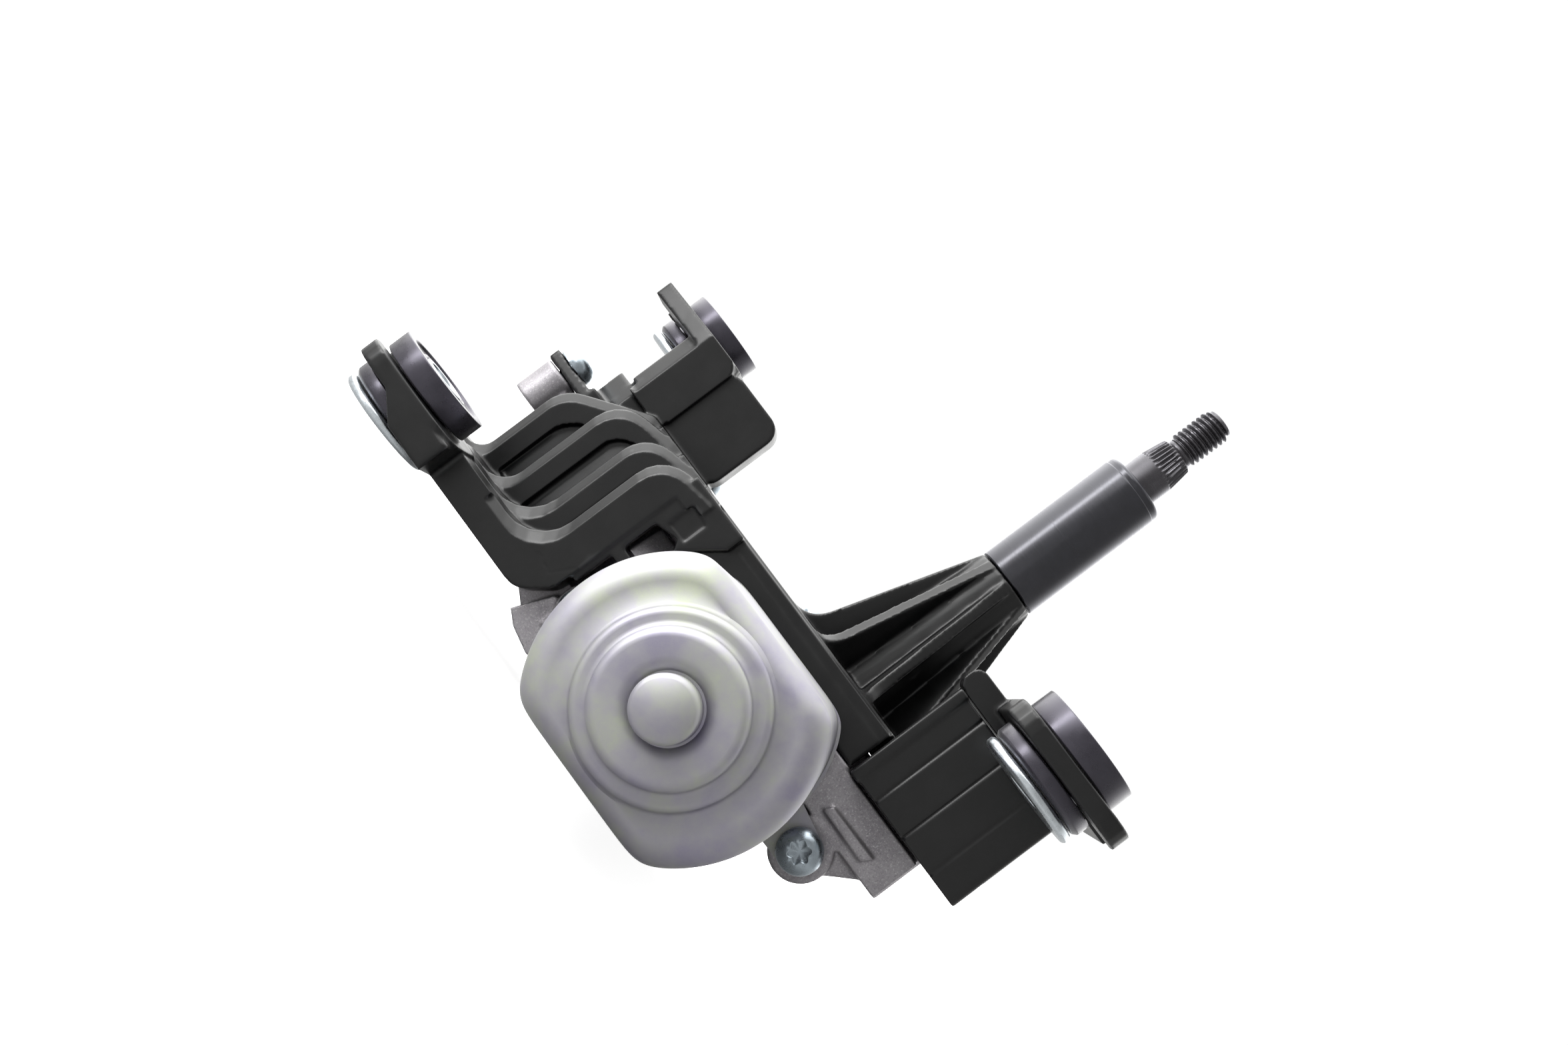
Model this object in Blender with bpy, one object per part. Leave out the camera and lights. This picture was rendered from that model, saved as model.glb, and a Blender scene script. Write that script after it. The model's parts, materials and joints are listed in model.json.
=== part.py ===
"""Rear windshield wiper motor unit: motor, gear housing, crank drive, spindle and rubber mounts.

Metres, +Z up along the wiper spindle, out of the cover. The origin is on the spindle axis at the
cover's outer face. The motor lies along Y, its closed end towards -Y. Helpers take millimetres.
"""

import math

import bmesh
import bpy
from mathutils import Matrix, Vector

MM = 0.001
GAP = 0.3  # clearance between touching pieces
WELD = 0.0005

# Motor, along Y
MOTOR_X, MOTOR_Z = -16.0, -26.4
CAN_RADIUS, CAN_WALL = 26.3, 1.8
CAN_FLAT = 20.4  # half the height over the two flats
CAN_FRONT, CAN_BACK = -105.0, -27.3
SHAFT_RADIUS = 3.0
FLANGE_SCREWS = ((17.9, -28.9), (-46.8, -35.8))  # x and z

# Crank drive: a parallelogram between the wheel and the spindle
WHEEL_X, WHEEL_Y = -41.0, 4.5
CRANK = 13.0
PARK_ANGLE = math.radians(25.0)
WHEEL_TEETH, WHEEL_RADIUS, TOOTH_DEPTH = 46, 20.0, 1.5
WORM_RADIUS, WORM_ROOT, WORM_PITCH = 4.6, 3.4, 2.8
WHEEL_LOW, WHEEL_HIGH = -30.4, -22.4
LINK_LOW, LINK_HIGH = -20.4, -17.4
LEVER_LOW, LEVER_HIGH = -17.1, -12.5

# Housing and cover
COVER_THICK = 6.2
HOUSING_TOP, FLOOR_LOW, HOUSING_LOW = -7.1, -23.2, -36.0
CAVITY_LOW = -31.4

# Spindle, along Z
SPINDLE_RADIUS, TUBE_RADIUS = 5.05, 8.1
CONE_TOP, TUBE_TOP, KNURL_LOW, KNURL_TOP = 38.8, 74.1, 79.5, 85.3
THREAD_LOW, THREAD_TOP = 86.3, 97.2

# Rubber mounts: x, y, top face z, flange radius, flange thickness, plate low z, plate high z
MOUNTS = {
    "left": (-103.0, -27.0, -29.8, 12.25, 5.3, -39.6, -35.5),
    "right": (33.6, -50.0, 29.1, 12.25, 5.2, 19.4, 23.5),
    "rear": (-86.5, 32.0, 26.0, 10.5, 4.3, 17.2, 21.3),
}
SLEEVE_BORE, SLEEVE_RADIUS, NECK_RADIUS, SLOT_RADIUS = 4.2, 5.4, 7.9, 8.3

# The left arm's four ribs: front y, rear y, x of the riser, x where it meets the cover, hump z,
# x of its back and width of the hollow behind its rim
ARM_STEPS = (
    (-30.0, -19.8, -63.2, -49.5, -3.0, -54.2, 0.0),
    (-20.0, -9.8, -70.6, -57.0, -3.0, -61.0, 1.2),
    (-10.0, 0.2, -81.7, -67.0, -3.5, -66.0, 5.2),
    (0.0, 9.0, -93.0, -76.0, -12.5, -66.0, 7.2),
)
ARM_TOP, ARM_LOW, ARM_END, ARM_RIM = -36.0, -44.0, -94.0, 6.2
ARM_FOOT = 9.0  # the shortest foot of a rib, left of its riser
ARM_SLOPE, SLOPE_START = 2.0, -77.5  # the ribs' sloped front corner, and where it starts on the front rib

# The wall under the left fork, in front of the mount's lower flange: x and z
FORK_SKIRT = ((-108.4, -37.5), (-104.4, -40.2), (-98.7, -43.9), (-88.5, -44.0), (-88.5, -37.0))

MATERIALS = {
    "zinc_steel": ((0.62, 0.61, 0.64), 0.32, 1.0),
    "bright_steel": ((0.72, 0.73, 0.74), 0.22, 1.0),
    "cast_aluminium": ((0.36, 0.35, 0.36), 0.55, 0.9),
    "glass_nylon": ((0.022, 0.022, 0.024), 0.55, 0.0),
    "rubber": ((0.018, 0.017, 0.020), 0.42, 0.0),
    "black_steel": ((0.028, 0.028, 0.030), 0.35, 0.9),
    "copper": ((0.72, 0.36, 0.18), 0.35, 1.0),
    "brass": ((0.78, 0.60, 0.28), 0.35, 1.0),
    "ferrite": ((0.055, 0.053, 0.055), 0.7, 0.1),
    "acetal": ((0.78, 0.77, 0.70), 0.45, 0.0),
    "core_steel": ((0.30, 0.29, 0.29), 0.5, 1.0),
    "sinter_bronze": ((0.45, 0.30, 0.16), 0.5, 0.9),
    "carbon": ((0.03, 0.03, 0.032), 0.6, 0.2),
    "board_green": ((0.03, 0.16, 0.07), 0.45, 0.0),
}


def clear_scene():
    for item in list(bpy.data.objects):
        bpy.data.objects.remove(item)


def material(slot):
    found = bpy.data.materials.get(slot)
    if found:
        return found
    colour, roughness, metallic = MATERIALS[slot]
    made = bpy.data.materials.new(slot)
    made.use_nodes = True
    shader = made.node_tree.nodes["Principled BSDF"]
    shader.inputs["Base Color"].default_value = (*colour, 1.0)
    shader.inputs["Roughness"].default_value = roughness
    shader.inputs["Metallic"].default_value = metallic
    made.diffuse_color = (*colour, 1.0)
    return made


def piece(name, shape, slot, parent=None):
    """An object from a bmesh in millimetres; main() turns every mesh into metres at the end."""
    bmesh.ops.recalc_face_normals(shape, faces=shape.faces)
    if shape.calc_volume(signed=True) < 0:
        bmesh.ops.reverse_faces(shape, faces=shape.faces)
    mesh = bpy.data.meshes.new(name)
    shape.to_mesh(mesh)
    shape.free()
    made = bpy.data.objects.new(name, mesh)
    bpy.context.scene.collection.objects.link(made)
    mesh.materials.append(material(slot))
    if parent:
        made.parent = parent
        made.matrix_parent_inverse = parent.matrix_world.inverted()
    mesh.shade_smooth()
    mesh.set_sharp_from_angle(angle=math.radians(32))
    return made


def pivot(name, x, y, z):
    """An empty on a joint's axis, for the pieces that turn about it."""
    made = bpy.data.objects.new(name, None)
    made.location = (x * MM, y * MM, z * MM)
    bpy.context.scene.collection.objects.link(made)
    bpy.context.view_layer.update()
    return made


def along_z(x=0.0, y=0.0):
    return Matrix.Translation((x, y, 0))


def along_y(x=MOTOR_X, z=MOTOR_Z):
    """Turned so that a profile's height runs along +Y."""
    return Matrix.Translation((x, 0, z)) @ Matrix.Rotation(-math.pi / 2, 4, "X")


def turned(profile, place, segments=48, bulge=None):
    """A solid of revolution. The profile is a closed loop of (radius, height)."""
    shape = bmesh.new()
    rings = []
    for index in range(segments):
        angle = 2 * math.pi * index / segments
        ring = []
        for radius, height in profile:
            reach = radius if bulge is None else bulge(radius, height, angle, index)
            ring.append(shape.verts.new((reach * math.cos(angle), reach * math.sin(angle), height)))
        rings.append(ring)
    count = len(profile)
    for index in range(segments):
        here, after = rings[index], rings[(index + 1) % segments]
        for step in range(count):
            other = (step + 1) % count
            shape.faces.new((here[step], after[step], after[other], here[other]))
    bmesh.ops.remove_doubles(shape, verts=shape.verts, dist=1e-5)
    bmesh.ops.dissolve_degenerate(shape, edges=shape.edges, dist=1e-5)
    shape.transform(place)
    return shape


def rod(radius, low, high, place, segments=18, chamfer=0.0):
    """A plain turned bar, closed on its axis at both ends."""
    profile = [(0, low), (radius - chamfer, low)]
    if chamfer:
        profile += [(radius, low + chamfer), (radius, high - chamfer)]
    else:
        profile += [(radius, high)]
    if chamfer:
        profile += [(radius - chamfer, high)]
    return turned(profile + [(0, high)], place, segments)


def ring(inner, outer, low, high, place, segments=24):
    return turned([(inner, low), (outer, low), (outer, high), (inner, high)], place, segments)


def prism(outline, low, high, axis="Z"):
    """An outline pushed along an axis. On Z it is (x, y), on Y it is (x, z), on X it is (y, z)."""
    shape = bmesh.new()
    place = {
        "Z": lambda a, b, h: (a, b, h),
        "Y": lambda a, b, h: (a, h, b),
        "X": lambda a, b, h: (h, a, b),
    }[axis]
    base = [shape.verts.new(place(a, b, low)) for a, b in outline]
    face = shape.faces.new(base)
    result = bmesh.ops.extrude_face_region(shape, geom=[face])
    moved = [item for item in result["geom"] if isinstance(item, bmesh.types.BMVert)]
    shift = Vector(place(0, 0, high)) - Vector(place(0, 0, low))
    bmesh.ops.translate(shape, verts=moved, vec=shift)
    return shape


def block(x0, x1, y0, y1, z0, z1):
    return prism([(x0, y0), (x1, y0), (x1, y1), (x0, y1)], z0, z1)


def rounded(outline, radii, steps=5):
    """The outline with each corner replaced by an arc of its radius."""
    points = []
    count = len(outline)
    for index, corner in enumerate(outline):
        radius = radii[index] if isinstance(radii, (list, tuple)) else radii
        here = Vector(corner)
        back = Vector(outline[index - 1]) - here
        ahead = Vector(outline[(index + 1) % count]) - here
        if radius <= 0:
            points.append(tuple(here))
            continue
        half = back.angle(ahead) / 2
        reach = min(radius / math.tan(half), 0.49 * back.length, 0.49 * ahead.length)
        bow = reach * math.tan(half)
        middle = here + (back.normalized() + ahead.normalized()).normalized() * bow / math.sin(half)
        start = here + back.normalized() * reach - middle
        end = here + ahead.normalized() * reach - middle
        sweep = start.angle_signed(end)
        for step in range(steps + 1):
            turn = Matrix.Rotation(-sweep * step / steps, 2)
            points.append(tuple(middle + turn @ start))
    return points


def rounded_block(x0, x1, y0, y1, z0, z1, radius, axis="Z"):
    """A block with the four corners round about the given axis."""
    if axis == "Z":
        return prism(rounded([(x0, y0), (x1, y0), (x1, y1), (x0, y1)], radius), z0, z1)
    if axis == "Y":
        return prism(rounded([(x0, z0), (x1, z0), (x1, z1), (x0, z1)], radius), y0, y1, "Y")
    return prism(rounded([(y0, z0), (y1, z0), (y1, z1), (y0, z1)], radius), x0, x1, "X")


def combine(target, tools, operation):
    """Joins bmesh tools to an object, or cuts them from it, one after another."""
    for shape in tools:
        tool = piece("tool", shape, "core_steel")
        change = target.modifiers.new("combine", "BOOLEAN")
        change.operation = operation
        change.solver = "MANIFOLD"  # closed results where faces share a plane
        change.object = tool
        graph = bpy.context.evaluated_depsgraph_get()
        made = bpy.data.meshes.new_from_object(target.evaluated_get(graph))
        target.modifiers.clear()
        target.data = made
        bpy.data.objects.remove(tool)
        weld(made)
    target.data.shade_smooth()
    target.data.set_sharp_from_angle(angle=math.radians(32))


def weld(mesh):
    """Closes the hairline seams that a Boolean leaves."""
    shape = bmesh.new()
    shape.from_mesh(mesh)
    bmesh.ops.remove_doubles(shape, verts=shape.verts, dist=WELD)
    bmesh.ops.dissolve_degenerate(shape, edges=shape.edges, dist=WELD)
    shape.to_mesh(mesh)
    shape.free()


def join(target, *tools):
    combine(target, tools, "UNION")


def cut(target, *tools):
    combine(target, tools, "DIFFERENCE")


# ---------------------------------------------------------------- carrier: cover, cone and arms


def cover_plate():
    """The plate's left edge steps back behind the four ribs of the left arm."""
    outline = [
        (10.7, -25.0),
        (10.7, -22.3),
        (44.0, -22.3),
        (44.0, 6.0),
        (26.0, 24.0),
        (18.0, 31.0),
        (-80.0, 31.0),
        (-89.0, 24.0),
        (-89.0, 9.0),
        (-76.0, 9.0),
        (-76.0, 0.1),
        (-69.0, 0.1),
        (-69.0, -9.9),
        (-59.0, -9.9),
        (-59.0, -19.9),
        (-51.5, -19.9),
        (-51.5, -25.0),
    ]
    return prism(outline, -COVER_THICK, 0.0)


def cone_core():
    return turned([(5.8, -1), (10.4, -1), (8.0, CONE_TOP), (5.8, CONE_TOP)], along_z(), 40)


def cone_rib(index):
    """A web that flares out at its foot and runs straight up to the tube."""
    foot, bend, waist = Vector((24.7, 0)), Vector((19.6, 0.2)), Vector((18.0, 5.1))
    outline = [(6.8, -1.0), (foot.x, -1.0)]
    for step in range(7):
        t = step / 6
        outline.append(tuple(foot * (1 - t) ** 2 + bend * 2 * t * (1 - t) + waist * t * t))
    outline += [(8.1, CONE_TOP), (6.8, CONE_TOP)]
    shape = prism(outline, -1.3, 1.3, "Y")
    shape.transform(Matrix.Rotation(math.radians(-85 + 45 * index), 4, "Z"))
    return shape


def foot_end(riser):
    return min(ARM_END, riser - ARM_FOOT)


def rib_edge(riser, meet, hump, inset):
    """The S: along the foot, up the riser and over the hump to the cover, inset from the outside."""
    corners = [(foot_end(riser) + inset, ARM_TOP - inset), (riser + inset, ARM_TOP - inset)]
    corners += [(riser + inset, hump - 0.6 * inset), (meet + 0.5 * inset, -inset)]
    return corners


def rib_outline(riser, meet, hump, back):
    """One S-shaped rib of the left arm: its edge, then the cover and its back."""
    outline = rib_edge(riser, meet, hump, 0.0)
    radii = [0, 9.5, 9, 3]
    if meet > back:
        outline += [(meet + 1.5, 0), (meet + 1.5, -COVER_THICK), (back, -COVER_THICK)]
    else:
        outline += [(back, 0)]
    radii += [0] * (len(outline) - 4)
    outline += [(back, -37.5), (back - 5, ARM_LOW), (foot_end(riser), ARM_LOW)]
    return rounded(outline, radii + [5, 5, 0])


def swept(outer, inner, sections):
    """A closed body between two curves of equal count; sections are (on the outer curve, y) pairs."""
    shape = bmesh.new()
    rows = []
    for far, near in zip(outer, inner):
        row = []
        for outside, y in sections:
            x, z = far if outside else near
            row.append(shape.verts.new((x, y, z)))
        rows.append(row)
    count = len(sections)
    for here, after in zip(rows, rows[1:]):
        for step in range(count):
            other = (step + 1) % count
            shape.faces.new((here[step], after[step], after[other], here[other]))
    shape.faces.new(rows[0])
    shape.faces.new(rows[-1][::-1])
    bmesh.ops.triangulate(shape, faces=shape.faces)
    return shape


def rib_curve(riser, meet, hump, inset, start):
    """A rib's edge at an inset, from the x where the cut starts to just past the cover."""
    corners = rib_edge(riser, meet, hump, inset) + [(meet + 3.5, -inset)]
    points = rounded(corners, [0, 9.5, 9, 2, 0])
    return [(start, ARM_TOP - inset)] + points[1:]


def rib_slope(front, riser, meet, hump):
    """The wedge that turns a rib's front corner into a slope."""
    beyond = 0.8
    start = SLOPE_START if front < -25 else foot_end(riser)
    outer = rib_curve(riser, meet, hump, -beyond, start)
    inner = rib_curve(riser, meet, hump, ARM_SLOPE, start)
    sections = [(True, front - 0.05), (True, front + ARM_SLOPE + beyond), (False, front)]
    return swept(outer, inner, sections)


def rib_hollow(front, riser, meet, hump, width):
    """The hollow behind a rib's rim; its floor rises away from the rim."""
    curves = []
    for inset, low in ((ARM_RIM, -34.5), (ARM_RIM + width, -35.0)):
        corners = [(riser + inset, low)] + rib_edge(riser, meet, hump, inset)[2:]
        curves.append(rounded(corners + [(meet + 3.5, -inset)], [0, 9, 2, 0]))
    outer, inner = curves
    sections = [(True, front - 1), (True, front + 1.7), (False, front + 0.2), (False, front - 1)]
    return swept(outer, inner, sections)


def fork_plate(name, x0, x1, y0, y1):
    low, high = MOUNTS[name][5:]
    return rounded_block(x0, x1, y0, y1, low, high, 6)


def fork_slot(name, toward):
    """The grommet's seat: a round hole and a narrower mouth out to the plate's edge."""
    x, y = MOUNTS[name][:2]
    low, high = MOUNTS[name][5:]
    hole = rod(SLOT_RADIUS, low - 1, high + 1, along_z(x, y), 40)
    mouth = block(min(x, x + 30 * toward), max(x, x + 30 * toward), y - 5.5, y + 5.5, low - 1, high + 1)
    room = MOUNTS[name][3] + 0.4
    above = rod(room, high, high + 14, along_z(x, y), 40)
    below = rod(room, low - 14, low, along_z(x, y), 40)
    return hole, mouth, above, below


def front_wall(made):
    """The panel beside the front rib, over the housing's side, and the lip over the housing's rim."""
    panel = [(-55, -0.4), (-39, -0.4), (-39, -4.5), (-44.9, -12.5), (-44.9, -24), (-52.7, -24)]
    join(
        made,
        prism(panel + [(-52.7, -33), (-55, -33)], -29.5, -26.0, "Y"),
        block(-46.0, 10.6, -26.7, -25.2, -10.8, -3.2),
        block(-46.0, 10.6, -26.4, -24.6, -5.5, -0.5),
    )
    window = [(-52.3, -21), (-52.3, -13.0), (-47.2, -11.3), (-45.8, -13.3), (-45.8, -21)]
    groove = [(-62.2, -35.7), (-57.2, -36.6), (-54.6, -31.8)]
    groove += [(-54.6, -30.8), (-57.4, -36.0), (-62.2, -35.2)]
    cut(
        made,
        prism(window, -31, -24, "Y"),
        block(-50.8, -45.6, -31, -29.0, -11.0, -4.6),
        prism(groove, -31, -29.6, "Y"),
    )


def carrier():
    made = piece("carrier", cover_plate(), "glass_nylon")
    join(made, cone_core())
    for index in range(8):
        join(made, cone_rib(index))
    for front, rear, riser, meet, hump, back, _ in ARM_STEPS:
        join(made, prism(rib_outline(riser, meet, hump, back), front, rear, "Y"))
    for front, _, riser, meet, hump, _, width in ARM_STEPS:
        cut(made, rib_slope(front, riser, meet, hump))
        if width:
            cut(made, rib_hollow(front, riser, meet, hump, width))
    front_wall(made)
    join(
        made,
        fork_plate("left", -116, -88, -41, -13),
        prism(FORK_SKIRT, -41, -39.75, "Y"),
        block(-92.5, -88, -40.5, -29.5, -44, -36.5),
    )
    cut(made, *fork_slot("left", -1))
    join(made, block(-91, -86, 10.5, 22, -11, 0), rounded_block(-103.6, -86.5, 10.5, 22, -11.15, -8.3, 3))
    cut(made, rod(2.7, -12, -8, along_z(*LUG), 20))
    join(
        made,
        rounded_block(-87, -73.5, 6, 20, -1, 21.3, 3, "Y"),
        rounded_block(-75, -56.5, 7.4, 17, -1, 20.5, 4, "Y"),
        fork_plate("rear", -100.5, -73.5, 6, 42),
    )
    cut(made, block(-84, -76, 9, 30, 3, 14.5), block(-72, -60, 9, 30, 3, 16.5))
    cut(
        made,
        prism([(-88, 5), (-83.4, 5), (-83.4, 6.0), (-87.2, 9.8), (-88, 9.8)], -0.5, 17.2),
        prism([(-102, 5), (-83.4, 5), (-83.4, 6.0), (-102, 14.5)], 16.9, 23),
        prism([(-92, 8), (-84, 8), (-84, 9.0), (-92, 17)], -7, 1),
        prism([(-105, 9), (-90, 9), (-90, 10.5), (-105, 14.5)], -12, -7.5),
    )
    cut(made, *fork_slot("rear", -1))
    join(
        made,
        rounded_block(29, 44, -22.3, -6, -1, 22, 3, "Z"),
        fork_plate("right", 19, 51, -64, -6),
        rounded_block(9.8, 33, -34, -22.5, 16.4, 22.2, 2.4, "Y"),
    )
    cut(made, block(32, 41, -19, -3, 2, 17))
    cut(made, *fork_slot("right", 1))
    cut(made, rod(6.5, -10, CONE_TOP + 2, along_z(), 40))
    for x, y in COVER_SCREWS:
        cut(made, rod(2.7, -10, 2, along_z(x, y), 20))
    cut(made, block(-51.0, 10.2, -26, -24.5, -3.0, -2.4))
    return made


# ---------------------------------------------------------------- housing

COVER_SCREWS = ((-60.5, 24.5), (-20.0, 27.0), (15.5, 24.0), (26.5, 7.5))


LUG = (-98.2, 16.2)  # x and y of the screw through the cover's own lug
CAST_LUG = ((-56.9, -47.2), (-53.5, -38.4), (-44, -38), (-41, -45.6), (-47.2, -50.3), (-53.6, -49.0))


def gear_housing():
    outline = [
        (10.9, -26.7),
        (10.9, -22.0),
        (35.0, -22.0),
        (35.0, 8.0),
        (20.0, 28.5),
        (-58.0, 30.0),
        (-65.2, 22.0),
        (-65.2, -1.0),
        (-60.2, -10.5),
        (-52.0, -18.7),
        (-46.0, -19.4),
        (-43.5, -26.7),
    ]
    radii = [1, 1, 2, 4, 6, 5, 5, 6, 4, 3, 1, 2]
    body = prism(rounded(outline, radii), FLOOR_LOW, HOUSING_TOP)
    made = piece("gear_housing", body, "cast_aluminium")
    deep = [(x if x < 12 else 11.5, y) for x, y in outline if x < 30]
    join(
        made,
        prism(rounded(deep, [1, 1, 5, 5, 5, 6, 4, 3, 1, 2]), HOUSING_LOW, FLOOR_LOW + 1),
        block(8, 34.3, -26.4, -16, -23.0, -11.8),
        prism([(8, -34.0), (19.5, -34.0), (30, -23.0), (8, -23.0)], -24.5, -17, "Y"),
        rod(6.8, -26.7, -14, along_y(*FLANGE_SCREWS[0]), 32),
        rod(6.0, -26.7, -14, along_y(*FLANGE_SCREWS[1]), 28),
        block(-50.5, -42, -26.7, -14, -44, -33),
        prism(CAST_LUG, -26.0, -14, "Y"),
        prism([(-60.5, -35), (-60.5, -44), (-55.5, -46.8), (-50, -46), (-50, -35)], -19.3, -10, "Y"),
        prism([(-18, -12.8), (-21.5, -12.8), (-26.2, -20.7), (-18, -20.7)], -51.9, -46.2, "X"),
        prism([(14.2, -20.4), (14.9, -18.3), (28.3, -18.1), (26.9, -20.7)], -27.4, -26, "Y"),
        rod(5.0, -21, -11.3, along_z(*LUG), 28),
        block(-98, -64, 12.5, 20, -19.5, -13),
        rod(11, -47, -30, along_z(WHEEL_X, WHEEL_Y), 32),
        ring(18, 24.0, -27.0, -26.0, along_y(), 32),
    )
    cut(
        made,
        block(-46.4, 11.3, -27.5, -24.3, -11.1, 0),
        rod(WHEEL_RADIUS + 1.4, CAVITY_LOW, 0, along_z(WHEEL_X, WHEEL_Y), 40),
        prism(rounded([(-58, -6), (-14, -10.5), (18.5, -10.5), (18.5, 20), (-58, 21)], 5), -21.2, 0),
        rod(5.4, -22, 24, along_y()),
        rod(9.2, -40, -18.5, along_y()),
        rod(3.6, -46, 0, along_z(WHEEL_X, WHEEL_Y), 28),
        rod(2.0, -22, -10, along_z(*LUG), 16),
    )
    for index in range(2):
        cut(made, rod(2.7, -30, -15, along_y(*FLANGE_SCREWS[index]), 16))
    for x, y in COVER_SCREWS:
        cut(made, rod(2.1, -20, 0, along_z(x, y), 16))
    return made


def housing_gasket():
    """A seal round the open top of the housing, inside the cover screws."""
    outer = [(20.7, -16), (20.7, 16), (12, 21.6), (-23, 24.4), (-31, 28), (-52, 28)]
    outer += [(-57.4, 23.2), (-64, 20.5), (-64, -1.5), (-59.2, -10.2), (-51, -18.2), (-30, -18.2)]
    inner = [(-21.6 + 0.974 * (x + 21.6), 4.9 + 0.952 * (y - 4.9)) for x, y in outer]
    made = piece("housing_gasket", prism(outer, -6.8, -6.5), "rubber")
    cut(made, prism(inner, -8, -5))


def screw(name, place, head_radius=4.9, head=3.4, shank=2.35, length=12.0):
    """A pan-head screw with a six-lobe recess; its shank runs along the place's +height."""
    recess = 2.2
    profile = [
        (0, -head + recess),
        (1.6, -head + recess),
        (2.6, -head),
        (0.86 * head_radius, -0.82 * head),
        (head_radius, -0.45 * head),
        (head_radius, 0),
        (shank, 0),
        (shank, length - 1),
        (shank - 0.8, length),
        (0, length),
    ]

    def lobes(radius, height, angle, _):
        if 0 < radius < 2.3 and height < 0:
            return radius * (1 + 0.13 * math.cos(6 * angle))
        return radius

    return piece(name, turned(profile, place, 18, lobes), "bright_steel")


def downward(x, y, z):
    """A place whose height runs along -Z from z."""
    return Matrix.Translation((x, y, z)) @ Matrix.Rotation(math.pi, 4, "X")


def screws():
    for index in range(2):
        x, z = FLANGE_SCREWS[index]
        place = Matrix.Translation((0, -29.9, 0)) @ along_y(x, z)
        screw(f"can_screw_{index + 1}", place)
    for index, (x, y) in enumerate(COVER_SCREWS):
        screw(f"cover_screw_{index + 1}", downward(x, y, 0.3), 4.0, 2.8, 1.8, 14)
    screw("lug_screw", downward(*LUG, -8.2), 4.6, 3.4, 1.7, 10)


# ---------------------------------------------------------------- motor


def arc(centre, radius, start, end, steps):
    """Points of (radius, height) on a corner, angles in degrees."""
    points = []
    for step in range(steps + 1):
        angle = math.radians(start + (end - start) * step / steps)
        points.append((centre[0] + radius * math.cos(angle), centre[1] + radius * math.sin(angle)))
    return points


def motor_can():
    corner = 5.0
    bend = (CAN_RADIUS - corner, CAN_FRONT + corner)
    inner = CAN_RADIUS - CAN_WALL
    profile = [(0, -120), (5.2, -120), (5.8, -119.4), (5.8, -113.6), (12.4, -113.6)]
    profile += [(13.4, -112.6), (13.4, -109.4), (15.8, -108.6), (16.6, -107.6), (16.6, CAN_FRONT)]
    profile += arc(bend, corner, -90, 0, 4)
    profile += [(CAN_RADIUS, -30.2), (27.0, -29.5), (27.0, CAN_BACK), (inner, CAN_BACK)]
    profile += arc(bend, corner - CAN_WALL, 0, -90, 1)
    profile += [(14.8, -103.2), (14.8, -106.4), (11.6, -107.6), (11.6, -111.8)]
    profile += [(4.2, -111.8), (4.2, -118.2), (0, -118.2)]

    def flats(radius, height, angle, _):
        """The drawn can is flat above and below, and its flange follows it."""
        if radius < 19:
            return radius
        wall = CAN_WALL if height > CAN_FRONT + CAN_WALL - 0.1 and radius <= inner + 0.01 else 0.0
        return min(radius, (CAN_FLAT - wall) / max(1e-6, abs(math.sin(angle))))

    made = piece("motor_can", turned(profile, along_y(), 36, flats), "zinc_steel")
    for index in range(2):
        x, z = FLANGE_SCREWS[index]
        aim = Vector((x - MOTOR_X, z - MOTOR_Z)).normalized() * 26.2
        join(made, bar(MOTOR_X + aim.x, MOTOR_Z + aim.y, x, z, 9.6, -29.5, CAN_BACK, "Y"))
        cut(made, rod(2.7, -31, -25, along_y(x, z), 20))
    return made


def magnet(name, side):
    """An arc magnet against the can's round wall."""
    outline = []
    for radius, sweep in ((24.1, 1), (17.4, -1)):
        for step in range(13):
            angle = sweep * math.radians(-40 + 80 * step / 12)
            outline.append((MOTOR_X + side * radius * math.cos(angle), MOTOR_Z + radius * math.sin(angle)))
    return piece(name, prism(outline, -96, -46, "Y"), "ferrite")


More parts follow.
